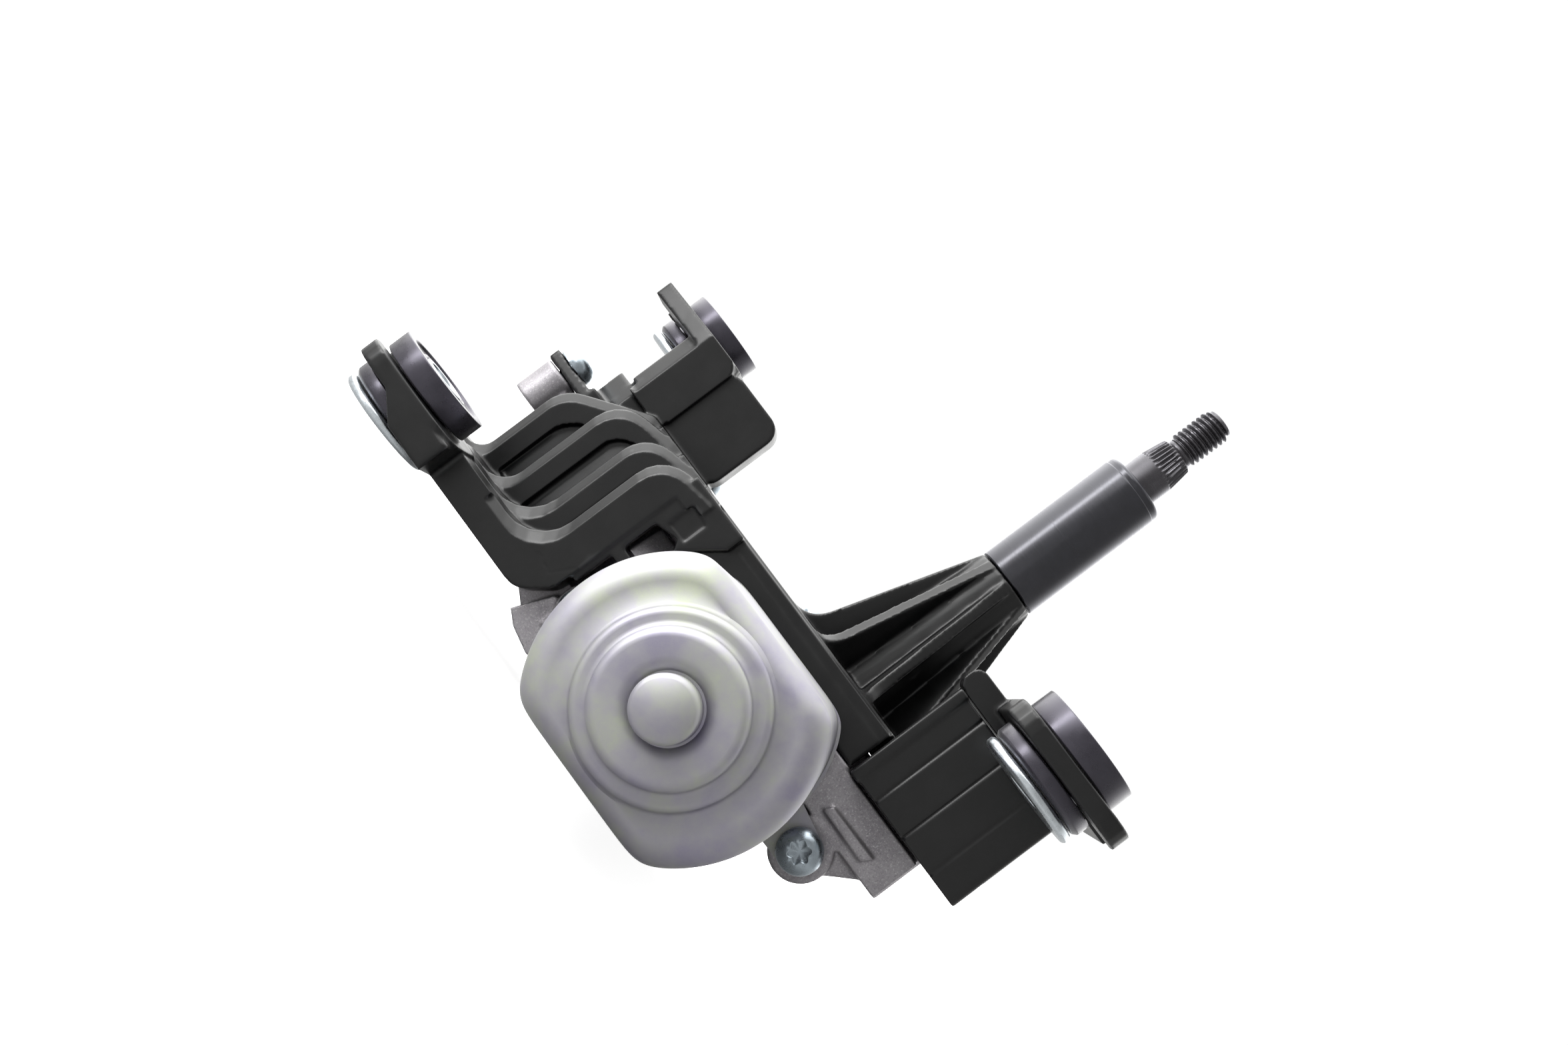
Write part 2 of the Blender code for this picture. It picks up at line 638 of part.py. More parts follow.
def armature(parent):
    """The rotor: shaft with its rolled worm, laminated core, windings and commutator."""
    place = along_y()
    worm_low, worm_high = WHEEL_Y - 14.0, WHEEL_Y + 14.0
    count = 40
    profile = [(0, -117.6), (2.6, -117.6), (SHAFT_RADIUS, -117.2), (SHAFT_RADIUS, worm_low - 2)]
    for step in range(count + 1):
        profile.append((WORM_ROOT, worm_low + (worm_high - worm_low) * step / count))
    profile += [(2.6, worm_high + 1), (2.6, 21.5), (0, 21.5)]

    def thread(radius, height, angle, _):
        if radius != WORM_ROOT:
            return radius
        phase = 2 * math.pi * height / WORM_PITCH - angle
        fade = min(1.0, (height - worm_low) / 2, (worm_high - height) / 2)
        return WORM_ROOT + fade * (WORM_RADIUS - WORM_ROOT) * (0.5 + 0.5 * math.cos(phase))

    piece("armature_shaft", turned(profile, place, 12, thread), "core_steel", parent)

    slots = 8

    def slotted(radius, height, angle, index):
        return radius - 3.2 if radius > 14 and index % 6 in (0, 1) else radius

    core = [(SHAFT_RADIUS + 0.3, -90), (16.4, -90), (16.4, -52), (SHAFT_RADIUS + 0.3, -52)]
    piece("armature_core", turned(core, place, slots * 6, slotted), "core_steel", parent)
    for name, low, high in (("winding_front", -99.0, -90.3), ("winding_rear", -51.7, -44.0)):
        bulge = [(SHAFT_RADIUS + 0.3, low), (11.0, low), (14.6, low + 2.4), (14.6, high - 2.4)]
        bulge += [(11.0, high), (SHAFT_RADIUS + 0.3, high)]

        def lobed(radius, height, angle, _):
            return radius * (1 + 0.03 * math.cos(slots * angle)) if radius > 10 else radius

        piece(name, turned(bulge, place, 32, lobed), "copper", parent)

    def bars(radius, height, angle, index):
        return radius - 0.5 if radius > 8 and index % 4 == 0 else radius

    drum = [(SHAFT_RADIUS + 0.3, -43.6), (9.0, -43.6), (9.0, -33.0), (SHAFT_RADIUS + 0.3, -33.0)]
    piece("commutator", turned(drum, place, 48, bars), "copper", parent)


def brush_gear():
    place = along_y()
    made = piece("brush_plate", ring(10.0, 23.0, -31.4, -29.9, place, 32), "glass_nylon")
    top, bottom = MOTOR_Z + 17.6, MOTOR_Z - 17.6
    cut(made, block(-60, 30, -40, -20, top, top + 20), block(-60, 30, -40, -20, bottom - 20, bottom))
    for name, side in (("left", -1), ("right", 1)):
        near, far = MOTOR_X + side * 9.4, MOTOR_X + side * 15.5
        low, high = sorted((near, far))
        piece(f"brush_{name}", block(low, high, -41, -36, MOTOR_Z - 3, MOTOR_Z + 3), "carbon")
        low, high = sorted((far + 0.3 * side, far + 4.3 * side))
        spring = prism([(low, -40), (high, -40), (high, -37), (low, -37)], MOTOR_Z - 2, MOTOR_Z + 2)
        piece(f"brush_spring_{name}", spring, "core_steel")
        choke = rod(2.2, -44.5, -31.7, along_y(MOTOR_X + side * 13, MOTOR_Z + side * 12.2), 20, 0.5)
        piece(f"choke_{name}", choke, "ferrite")


def bearings():
    place = along_y()
    piece("rear_bush", ring(SHAFT_RADIUS + 0.3, 10.9, -111.4, -105.5, place), "sinter_bronze")
    piece("rear_bush_clip", ring(6.0, 14.4, -105.2, -104.2, place), "core_steel")
    piece("front_bearing", ring(SHAFT_RADIUS + 0.3, 8.9, -26.2, -19.2, place), "core_steel")
    piece("worm_thrust_pad", rod(2.6, 21.8, 23.6, place, 20), "acetal")


# ---------------------------------------------------------------- crank drive and spindle


def wheel(parent):
    teeth = WHEEL_TEETH

    def toothed(radius, height, angle, index):
        return radius - TOOTH_DEPTH if radius > 15 and index % 2 else radius

    profile = [(3.6, WHEEL_LOW), (WHEEL_RADIUS, WHEEL_LOW), (WHEEL_RADIUS, WHEEL_HIGH)]
    profile += [(3.6, WHEEL_HIGH)]
    shape = turned(profile, along_z(WHEEL_X, WHEEL_Y), teeth * 2, toothed)
    made = piece("worm_wheel", shape, "acetal", parent)
    x, y = crank_end(WHEEL_X, WHEEL_Y)
    cut(made, rod(2.8, WHEEL_LOW - 1, WHEEL_HIGH + 1, along_z(x, y), 20))
    piece("crank_pin", rod(2.5, WHEEL_LOW, LINK_HIGH + 0.8, along_z(x, y), 20, 0.3), "core_steel", parent)


def crank_end(x, y):
    return x + CRANK * math.cos(PARK_ANGLE), y + CRANK * math.sin(PARK_ANGLE)


def bar(x0, y0, x1, y1, width, low, high, axis="Z"):
    """A flat link with round ends."""
    along = Vector((x1 - x0, y1 - y0))
    turn = math.atan2(along.y, along.x)
    outline = []
    for centre, start in (((x1, y1), -90), ((x0, y0), 90)):
        for step in range(11):
            angle = turn + math.radians(start + 18 * step)
            reach = width / 2
            outline.append((centre[0] + reach * math.cos(angle), centre[1] + reach * math.sin(angle)))
    return prism(outline, low, high, axis)


def link(parent):
    near, far = crank_end(WHEEL_X, WHEEL_Y), crank_end(0, 0)
    made = piece("drive_link", bar(*near, *far, 9.0, LINK_LOW, LINK_HIGH), "core_steel", parent)
    for x, y in (near, far):
        cut(made, rod(2.8, LINK_LOW - 1, LINK_HIGH + 1, along_z(x, y), 20))


def spindle(parent):
    flutes = 18
    profile = [(0, LEVER_LOW), (SPINDLE_RADIUS, LEVER_LOW), (SPINDLE_RADIUS, KNURL_LOW)]
    profile += [(SPINDLE_RADIUS - 0.1, KNURL_LOW + 0.3), (4.3, KNURL_TOP), (3.35, KNURL_TOP + 0.5)]
    profile += [(3.35, THREAD_LOW)]
    pitch, crest, root = 1.25, 3.95, 3.3
    turns = int((THREAD_TOP - THREAD_LOW - 0.8) / pitch)
    for step in range(turns):
        low = THREAD_LOW + pitch * step
        profile += [(crest, low + 0.6), (root, low + pitch)]
    profile += [(3.0, THREAD_TOP), (0, THREAD_TOP)]

    def fluted(radius, height, angle, index):
        inside = KNURL_LOW < height <= KNURL_TOP and radius > 4
        return radius - 0.35 if inside and index % 2 == 0 else radius

    piece("spindle", turned(profile, along_z(), flutes * 2, fluted), "black_steel", parent)
    end = crank_end(0, 0)
    made = piece("spindle_lever", bar(0, 0, *end, 11.0, LEVER_LOW, LEVER_HIGH), "core_steel", parent)
    join(made, rod(9.0, LEVER_LOW, LEVER_HIGH, along_z()))
    cut(made, rod(SPINDLE_RADIUS + 0.3, -30, 0, along_z(), 32))
    cut(made, rod(2.8, -30, 0, along_z(*end), 20))
    piece("lever_pin", rod(2.5, LINK_LOW - 0.4, LEVER_HIGH, along_z(*end), 20, 0.3), "core_steel", parent)
    piece("spindle_ring", ring(SPINDLE_RADIUS + 0.3, 6.6, 72.5, 73.7, along_z()), "core_steel", parent)


def spindle_tube():
    profile = [(SPINDLE_RADIUS + 0.3, 8.0), (6.2, 8.0), (6.2, CONE_TOP + 0.3), (TUBE_RADIUS, CONE_TOP + 0.3)]
    profile += [(TUBE_RADIUS, TUBE_TOP - 0.8), (TUBE_RADIUS - 0.8, TUBE_TOP), (6.9, TUBE_TOP)]
    profile += [(6.9, 60.5), (SPINDLE_RADIUS + 0.3, 60.5)]
    piece("spindle_tube", turned(profile, along_z(), 32), "black_steel")
    inner = SPINDLE_RADIUS + 0.3
    piece("bush_lower", ring(inner, 6.2, -6.0, 7.7, along_z()), "sinter_bronze")
    piece("bush_upper", ring(inner, 6.6, 60.8, 70.0, along_z()), "sinter_bronze")
    piece("spindle_seal", ring(inner, 6.6, 70.3, 72.2, along_z()), "rubber")
    axle = rod(3.3, -45.6, WHEEL_HIGH, along_z(WHEEL_X, WHEEL_Y), 28, 0.3)
    piece("wheel_axle", axle, "core_steel")


# ---------------------------------------------------------------- mounts and connector


def rubber_mount(name):
    """A two-flanged grommet in the fork, round a flanged steel sleeve."""
    x, y, top, flange, thick, low, high = MOUNTS[name]
    bottom, lower = low - GAP, low - GAP - 3.6
    bore = SLEEVE_RADIUS + GAP
    profile = [(bore, lower), (flange - 0.9, lower), (flange, lower + 0.9), (flange, bottom)]
    profile += [(NECK_RADIUS, bottom), (NECK_RADIUS, high + GAP), (flange - 1.2, high + GAP)]
    profile += [(flange - 1.2, top - thick), (flange, top - thick), (flange, top - 0.5)]
    profile += [(flange - 0.5, top), (bore + 0.8, top), (bore, top - 0.8)]
    if high + GAP >= top - thick - 0.05:
        profile[6:8] = []
    piece(f"grommet_{name}", turned(profile, along_z(x, y), 28), "rubber")
    base = lower - GAP
    sleeve = [(SLEEVE_BORE, base - 2.2), (flange - 0.6, base - 2.2), (flange - 0.2, base - 1.8)]
    sleeve += [(flange - 0.2, base - 0.4), (flange - 0.6, base), (SLEEVE_RADIUS, base)]
    sleeve += [(SLEEVE_RADIUS, top - 0.2), (SLEEVE_BORE, top - 0.2)]
    piece(f"sleeve_{name}", turned(sleeve, along_z(x, y), 28), "bright_steel")


BOX = (11.3, 44.4, -35.0, -24.0, -11.0, 16.0)


def connector():
    x0, x1, y0, y1, z0, z1 = BOX
    made = piece("connector_housing", rounded_block(x0, x1, y0, y1, z0, z1, 1.6), "glass_nylon")
    join(made, block(x0, x0 + 2.2, y0 - 0.5, y1, z0 - 0.4, z1 + 0.4))
    cut(made, block(x0 + 2, 34, y0 + 2, y1 + 5, z0 + 2, z1 - 2))
    cut(made, rounded_block(36, x1 + 5, y0 + 1.8, y1 - 1.8, -6, 10, 2, "X"))
    for x in (18.5, 27.3, 36.2):
        cut(made, block(x, x + 0.8, y0 - 1, y0 + 0.5, z0 - 1, z1 + 1))
    board = block(15, 32.5, -30, -28.4, z0 + 3, z1 - 3)
    piece("circuit_board", board, "board_green")
    lid = rounded_block(x0 + 0.4, x1 - 0.2, y1 + GAP, y1 + 1.4, z0 + 0.2, z1 - 0.2, 1)
    piece("connector_lid", lid, "glass_nylon")
    for index in range(4):
        z = -3.4 + 3.6 * index
        cut(made, block(33, 37, -32.1, -30.5, z - 0.8, z + 0.8))
        pin = block(31.5, 42.5, -31.8, -30.8, z - 0.5, z + 0.5)
        piece(f"connector_pin_{index + 1}", pin, "brass")


def main():
    clear_scene()
    motor_axis = pivot("armature_axis", MOTOR_X, 0, MOTOR_Z)
    wheel_axis = pivot("wheel_axis", WHEEL_X, WHEEL_Y, 0)
    link_axis = pivot("link_axis", *crank_end(WHEEL_X, WHEEL_Y), 0)
    spindle_axis = pivot("spindle_axis", 0, 0, 0)
    carrier()
    gear_housing()
    housing_gasket()
    screws()
    motor_can()
    magnet("magnet_left", -1)
    magnet("magnet_right", 1)
    armature(motor_axis)
    brush_gear()
    bearings()
    wheel(wheel_axis)
    link(link_axis)
    spindle(spindle_axis)
    spindle_tube()
    for name in MOUNTS:
        rubber_mount(name)
    connector()
    for item in bpy.data.objects:
        if item.type == "MESH":
            item.data.transform(Matrix.Scale(MM, 4))


main()
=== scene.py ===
"""Looks for the rear wiper motor unit: smooth turned pieces, soft edges, finishes, light and camera."""

import json
import math

import bmesh
import bpy
from mathutils import Matrix, Vector

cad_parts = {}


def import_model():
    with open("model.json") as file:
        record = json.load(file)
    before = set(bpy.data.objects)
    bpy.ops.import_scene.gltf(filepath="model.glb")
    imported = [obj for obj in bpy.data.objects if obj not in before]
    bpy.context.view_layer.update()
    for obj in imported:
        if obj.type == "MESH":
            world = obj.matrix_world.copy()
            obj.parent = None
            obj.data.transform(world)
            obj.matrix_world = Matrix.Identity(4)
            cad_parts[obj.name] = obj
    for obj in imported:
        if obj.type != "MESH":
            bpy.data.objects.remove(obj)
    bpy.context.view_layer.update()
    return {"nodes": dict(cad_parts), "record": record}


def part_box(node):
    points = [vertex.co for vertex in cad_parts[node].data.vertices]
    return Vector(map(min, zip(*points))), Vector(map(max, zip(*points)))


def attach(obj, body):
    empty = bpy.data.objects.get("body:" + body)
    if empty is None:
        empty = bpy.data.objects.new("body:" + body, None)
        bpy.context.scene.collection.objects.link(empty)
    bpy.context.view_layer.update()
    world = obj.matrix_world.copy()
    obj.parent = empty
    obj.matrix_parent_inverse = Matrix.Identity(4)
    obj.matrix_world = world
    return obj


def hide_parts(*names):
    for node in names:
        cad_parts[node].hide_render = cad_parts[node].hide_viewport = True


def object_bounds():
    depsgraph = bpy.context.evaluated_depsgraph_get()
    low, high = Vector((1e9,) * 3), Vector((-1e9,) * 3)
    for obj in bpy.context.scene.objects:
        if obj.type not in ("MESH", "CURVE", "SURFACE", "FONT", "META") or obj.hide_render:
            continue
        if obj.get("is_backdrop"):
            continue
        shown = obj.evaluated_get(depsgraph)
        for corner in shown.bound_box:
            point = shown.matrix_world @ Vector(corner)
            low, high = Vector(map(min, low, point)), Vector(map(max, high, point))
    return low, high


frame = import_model()

MM = 0.001
SOFT_EDGE = 0.28  # mm, the radius of a turned edge
KEPT_FACES = 0.3  # the share of a moulded piece's faces that stays
IMAGE_WIDTH = 2352
FOCAL_PIXELS = 2980
SENSOR = 36.0
EYE = Vector((1.85, -430.0, 0.0)) * MM
AIM = Vector((-0.0964, 1.0, 0.0201))
UPRIGHT = Vector((-0.8007, 0.0, 0.599))
FLOOR_DROP = 0.006

HOUSING = "housing"
SPINDLE = "spindle_shaft"


# ---------------------------------------------------------------- shader helpers


def new_material(name):
    made = bpy.data.materials.new(name)
    made.use_nodes = True
    return made, made.node_tree, made.node_tree.nodes["Principled BSDF"]


def node(tree, kind, **values):
    made = tree.nodes.new(kind)
    for key, value in values.items():
        setattr(made, key, value)
    return made


def place(tree, stretch=(1, 1, 1)):
    """Object coordinates in millimetres, stretched for brushed or turned patterns."""
    where = node(tree, "ShaderNodeTexCoord")
    scale = node(tree, "ShaderNodeMapping")
    scale.inputs["Scale"].default_value = tuple(1000 * s for s in stretch)
    tree.links.new(where.outputs["Object"], scale.inputs["Vector"])
    return scale.outputs["Vector"]


def noise(tree, vector, scale, detail=4.0, rough=0.6):
    made = node(tree, "ShaderNodeTexNoise")
    made.inputs["Scale"].default_value = scale
    made.inputs["Detail"].default_value = detail
    made.inputs["Roughness"].default_value = rough
    tree.links.new(vector, made.inputs["Vector"])
    return made.outputs["Fac"]


def ramp(tree, value, stops):
    """Maps a value to colours or greys; stops are (position, colour)."""
    made = node(tree, "ShaderNodeValToRGB")
    tree.links.new(value, made.inputs["Fac"])
    elements = made.color_ramp.elements
    while len(elements) < len(stops):
        elements.new(0.5)
    for element, (position, colour) in zip(elements, stops):
        element.position = position
        element.color = (*colour, 1.0) if len(colour) == 3 else (colour[0],) * 3 + (1.0,)
    return made.outputs["Color"]


def span(tree, value, low, high, to_low, to_high):
    made = node(tree, "ShaderNodeMapRange")
    for key, number in zip(("From Min", "From Max", "To Min", "To Max"), (low, high, to_low, to_high)):
        made.inputs[key].default_value = number
    tree.links.new(value, made.inputs["Value"])
    return made.outputs["Result"]


def mix(tree, factor, first, second, blend="MIX"):
    made = node(tree, "ShaderNodeMix", data_type="RGBA", blend_type=blend)
    for key, value in (("Factor", factor), ("A", first), ("B", second)):
        socket = [s for s in made.inputs if s.name == key and s.enabled][0]
        if hasattr(value, "is_output"):
            tree.links.new(value, socket)
        elif key == "Factor":
            socket.default_value = value
        else:
            socket.default_value = (*value, 1.0)
    return [s for s in made.outputs if s.enabled][0]


def maths(tree, operation, first, second):
    made = node(tree, "ShaderNodeMath", operation=operation)
    for index, value in enumerate((first, second)):
        if hasattr(value, "is_output"):
            tree.links.new(value, made.inputs[index])
        else:
            made.inputs[index].default_value = value
    return made.outputs["Value"]


def bump(tree, shader, height, depth_mm, strength=1.0):
    made = node(tree, "ShaderNodeBump")
    made.inputs["Distance"].default_value = depth_mm * MM
    made.inputs["Strength"].default_value = strength
    tree.links.new(height, made.inputs["Height"])
    tree.links.new(made.outputs["Normal"], shader.inputs["Normal"])


def convex_edge_mask(tree, low=0.505, high=0.56):
    """1 along convex edges, 0 elsewhere."""
    shape = node(tree, "ShaderNodeNewGeometry")
    return span(tree, shape.outputs["Pointiness"], low, high, 0.0, 1.0)


# ---------------------------------------------------------------- finishes


def nylon(name="glass_nylon", dark=(0.001, 0.001, 0.0012), light=(0.0026, 0.0026, 0.0028)):
    """Black glass-filled nylon: fine spark-eroded grain, pale fibre specks, and a painted highlight
    along the convex edges.
    """
    made, tree, shader = new_material(name)
    spot = place(tree)
    cloud = noise(tree, spot, 0.16, 5)
    grain = noise(tree, spot, 7.0, 3, 0.7)
    colour = ramp(tree, cloud, [(0.32, dark), (0.72, light)])
    fibre = noise(tree, spot, 5.5, 2, 0.9)
    specks = span(tree, fibre, 0.68, 0.76, 0.0, 0.5)
    colour = mix(tree, specks, colour, (0.03, 0.03, 0.032))
    # painted highlight: convex edges are lightened to stand in for edges catching the light
    painted_edge_highlight = maths(tree, "MULTIPLY", convex_edge_mask(tree, 0.53, 0.62), 0.5)
    colour = mix(tree, painted_edge_highlight, colour, (0.03, 0.03, 0.031))
    tree.links.new(colour, shader.inputs["Base Color"])
    tree.links.new(span(tree, cloud, 0.3, 0.7, 0.3, 0.4), shader.inputs["Roughness"])
    shader.inputs["Specular IOR Level"].default_value = 0.43
    bump(tree, shader, grain, 0.008, 0.6)
    return made


def rubber():
    """Moulded rubber with a violet-grey sheen, flow marks and a little dust."""
    made, tree, shader = new_material("rubber")
    spot = place(tree)
    cloud = noise(tree, spot, 0.3, 5)
    colour = ramp(tree, cloud, [(0.3, (0.008, 0.0072, 0.0095)), (0.75, (0.017, 0.0155, 0.020))])
    dust = span(tree, noise(tree, spot, 2.6, 6, 0.75), 0.62, 0.8, 0.0, 0.1)
    colour = mix(tree, dust, colour, (0.07, 0.066, 0.07))
    tree.links.new(colour, shader.inputs["Base Color"])
    tree.links.new(span(tree, cloud, 0.3, 0.7, 0.24, 0.34), shader.inputs["Roughness"])
    shader.inputs["Specular IOR Level"].default_value = 0.75
    shader.inputs["Specular Tint"].default_value = (0.88, 0.84, 1.0, 1)
    shader.inputs["Sheen Weight"].default_value = 0.12
    shader.inputs["Sheen Roughness"].default_value = 0.4
    bump(tree, shader, noise(tree, spot, 1.6, 4), 0.006, 0.4)
    return made


def zinc_can():
    """Drawn steel can, zinc plated: faint draw lines along the motor, soft mottling, pale tint."""
    made, tree, shader = new_material("zinc_steel")
    spot = place(tree)
    mottle = noise(tree, spot, 0.11, 6, 0.62)
    colour = ramp(
        tree,
        mottle,
        [(0.3, (0.3, 0.285, 0.36)), (0.5, (0.365, 0.36, 0.38)), (0.7, (0.41, 0.435, 0.35))],
    )
    lines = noise(tree, place(tree, (3.2, 0.05, 3.2)), 1.0, 3, 0.6)
    colour = mix(tree, span(tree, lines, 0.35, 0.7, 0.0, 0.22), colour, (0.36, 0.35, 0.40))
    tree.links.new(colour, shader.inputs["Base Color"])
    shader.inputs["Metallic"].default_value = 0.92
    tree.links.new(span(tree, mottle, 0.3, 0.7, 0.5, 0.64), shader.inputs["Roughness"])
    bump(tree, shader, lines, 0.012, 0.5)
    return made


def bright_steel(name="bright_steel", tint=(0.36, 0.41, 0.45)):
    """Bright zinc on screws and sleeves, with handling marks."""
    made, tree, shader = new_material(name)
    spot = place(tree)
    mottle = noise(tree, spot, 0.9, 5)
    dull = tuple(0.85 * c for c in tint)
    tree.links.new(ramp(tree, mottle, [(0.3, dull), (0.7, tint)]), shader.inputs["Base Color"])
    shader.inputs["Metallic"].default_value = 1.0
    tree.links.new(span(tree, mottle, 0.3, 0.7, 0.24, 0.34), shader.inputs["Roughness"])
    bump(tree, shader, noise(tree, spot, 2.4, 4), 0.002, 0.4)
    return made


def cast_aluminium():
    """Die-cast skin: sandy sparkle, dull flow patches."""
    made, tree, shader = new_material("cast_aluminium")
    spot = place(tree)
    flow = noise(tree, spot, 0.14, 5)
    colour = ramp(tree, flow, [(0.3, (0.24, 0.228, 0.245)), (0.7, (0.36, 0.345, 0.362))])
    sand = noise(tree, spot, 2.6, 3, 0.85)
    colour = mix(tree, span(tree, sand, 0.42, 0.3, 0.0, 0.6), colour, (0.12, 0.113, 0.12))
    colour = mix(tree, span(tree, sand, 0.56, 0.72, 0.0, 0.7), colour, (0.70, 0.675, 0.70))
    tree.links.new(colour, shader.inputs["Base Color"])
    shader.inputs["Metallic"].default_value = 0.7
    tree.links.new(span(tree, sand, 0.3, 0.7, 0.55, 0.34), shader.inputs["Roughness"])
    bump(tree, shader, sand, 0.06, 0.8)
    return made


def turned_black(name, dark, light, low_rough, high_rough, ring_pitch):
    """Blackened turned steel with fine tool rings round +Z."""
    made, tree, shader = new_material(name)
    spot = place(tree)
    cloud = noise(tree, spot, 0.35, 5)
    tree.links.new(ramp(tree, cloud, [(0.3, dark), (0.75, light)]), shader.inputs["Base Color"])
    rings = noise(tree, place(tree, (0.02, 0.02, 1.0 / ring_pitch)), 1.0, 3, 0.6)
    shader.inputs["Metallic"].default_value = 0.4
    shader.inputs["Specular IOR Level"].default_value = 1.0
    shader.inputs["Specular Tint"].default_value = (0.93, 0.93, 1.0, 1)
    tree.links.new(span(tree, rings, 0.3, 0.7, low_rough, high_rough), shader.inputs["Roughness"])
    bump(tree, shader, rings, 0.012, 0.5)
    return made


def plain_metal(name, tint, roughness):
    made, tree, shader = new_material(name)
    spot = place(tree)
    mottle = noise(tree, spot, 0.8, 5)
    dull = tuple(0.7 * c for c in tint)
    tree.links.new(ramp(tree, mottle, [(0.3, dull), (0.7, tint)]), shader.inputs["Base Color"])
    shader.inputs["Metallic"].default_value = 1.0
    rough = span(tree, mottle, 0.3, 0.7, roughness - 0.06, roughness + 0.08)
    tree.links.new(rough, shader.inputs["Roughness"])
    bump(tree, shader, noise(tree, spot, 4.0, 4), 0.02, 0.5)
    return made


def plain_solid(name, tint, roughness):
    made, tree, shader = new_material(name)
    spot = place(tree)
    mottle = noise(tree, spot, 0.7, 5)
    dull = tuple(0.75 * c for c in tint)
    tree.links.new(ramp(tree, mottle, [(0.3, dull), (0.7, tint)]), shader.inputs["Base Color"])
    rough = span(tree, mottle, 0.3, 0.7, roughness - 0.06, roughness + 0.08)
    tree.links.new(rough, shader.inputs["Roughness"])
    bump(tree, shader, noise(tree, spot, 5.0, 4), 0.03, 0.5)
    return made


TUBE_DARK, TUBE_LIGHT = (0.012, 0.012, 0.014), (0.018, 0.018, 0.022)
FINISHES = {
    "glass_nylon": nylon(),
    "rubber": rubber(),
    "zinc_steel": zinc_can(),
    "bright_steel": bright_steel(),
    "cast_aluminium": cast_aluminium(),
    "black_steel": turned_black("black_steel", TUBE_DARK, TUBE_LIGHT, 0.2, 0.28, 0.45),
    "core_steel": plain_metal("core_steel", (0.42, 0.41, 0.41), 0.38),
    "copper": plain_metal("copper", (0.75, 0.38, 0.2), 0.32),
    "brass": plain_metal("brass", (0.80, 0.62, 0.30), 0.28),
    "sinter_bronze": plain_metal("sinter_bronze", (0.42, 0.29, 0.16), 0.5),
    "ferrite": plain_solid("ferrite", (0.06, 0.058, 0.06), 0.65),
    "carbon": plain_solid("carbon", (0.03, 0.03, 0.033), 0.5),
    "acetal": plain_solid("acetal", (0.74, 0.73, 0.66), 0.42),
    "board_green": plain_solid("board_green", (0.03, 0.17, 0.07), 0.35),
}
# painted highlight: a lighter copy of the bright steel finish makes the spacers read as brightly lit
SPACER_PAINTED_HIGHLIGHT_FINISH = bright_steel("spacer_steel_painted_highlight", (0.58, 0.62, 0.65))
SPINDLE_DARK, SPINDLE_LIGHT = (0.02, 0.018, 0.02), (0.04, 0.037, 0.04)
SPINDLE_FINISH = turned_black("spindle_steel", SPINDLE_DARK, SPINDLE_LIGHT, 0.2, 0.3, 0.3)


# ---------------------------------------------------------------- shape helpers, in millimetres


def finish_piece(name, shape, slot, body, replaced=(), finish=None, sharp=38):
    """A riding piece from a bmesh in millimetres."""
    shape.transform(Matrix.Scale(MM, 4))
    bmesh.ops.recalc_face_normals(shape, faces=shape.faces)
    if shape.calc_volume(signed=True) < 0:
        bmesh.ops.reverse_faces(shape, faces=shape.faces)
    mesh = bpy.data.meshes.new(name)
    shape.to_mesh(mesh)
    shape.free()
    mesh.shade_smooth()
    mesh.set_sharp_from_angle(angle=math.radians(sharp))
    mesh.materials.append(finish or FINISHES[slot])
    made = bpy.data.objects.new(name, mesh)
    bpy.context.scene.collection.objects.link(made)
    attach(made, body)
    if replaced:
        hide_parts(*replaced)
    return made


def softened(profile, radius=SOFT_EDGE, steps=3):
    """A profile of (radius, height) with its corners rounded, apart from those on the axis."""
    points = []
    count = len(profile)
    for index, corner in enumerate(profile):
        here = Vector(corner)
        back = Vector(profile[index - 1]) - here
        ahead = Vector(profile[(index + 1) % count]) - here
        small = min(back.length, ahead.length)
        if here.x < 1e-6 or small < 1e-6 or abs(math.pi - back.angle(ahead)) < 0.2:
            points.append(tuple(here))
            continue
        reach = min(radius, 0.42 * small)
        start, end = here + back.normalized() * reach, here + ahead.normalized() * reach
        for step in range(steps + 1):
            t = step / steps
            points.append(tuple(start * (1 - t) ** 2 + here * 2 * t * (1 - t) + end * t * t))
    return points


def turned(profile, where, segments=128, reach=None):
    """A solid of revolution from a closed (radius, height) loop; reach may vary with the angle."""
    shape = bmesh.new()
    rings = []
    for index in range(segments):
        angle = 2 * math.pi * index / segments
        line = []
        for radius, height in profile:
            far = reach(radius, height, angle) if reach else radius
            line.append(shape.verts.new((far * math.cos(angle), far * math.sin(angle), height)))
        rings.append(line)
    count = len(profile)
    for index in range(segments):
        here, after = rings[index], rings[(index + 1) % segments]
        for step in range(count):
            other = (step + 1) % count
            shape.faces.new((here[step], after[step], after[other], here[other]))
    bmesh.ops.remove_doubles(shape, verts=shape.verts, dist=1e-5)
    bmesh.ops.dissolve_degenerate(shape, edges=shape.edges, dist=1e-5)
    shape.transform(where)
    return shape


def along_z(x=0.0, y=0.0, z=0.0):
    return Matrix.Translation((x, y, z))


def along_y(x, y, z):
    return Matrix.Translation((x, y, z)) @ Matrix.Rotation(-math.pi / 2, 4, "X")


def centre_of(name):
    """The middle of a CAD node's box and half its size, in millimetres."""
    low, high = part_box(name)
    return (low + high) / 2 / MM, (high - low) / 2 / MM


def arc(centre, radius, start, end, steps):
    points = []
    for step in range(steps + 1):
        angle = math.radians(start + (end - start) * step / steps)
        points.append((centre[0] + radius * math.cos(angle), centre[1] + radius * math.sin(angle)))
    return points


# ---------------------------------------------------------------- pieces that replace CAD nodes


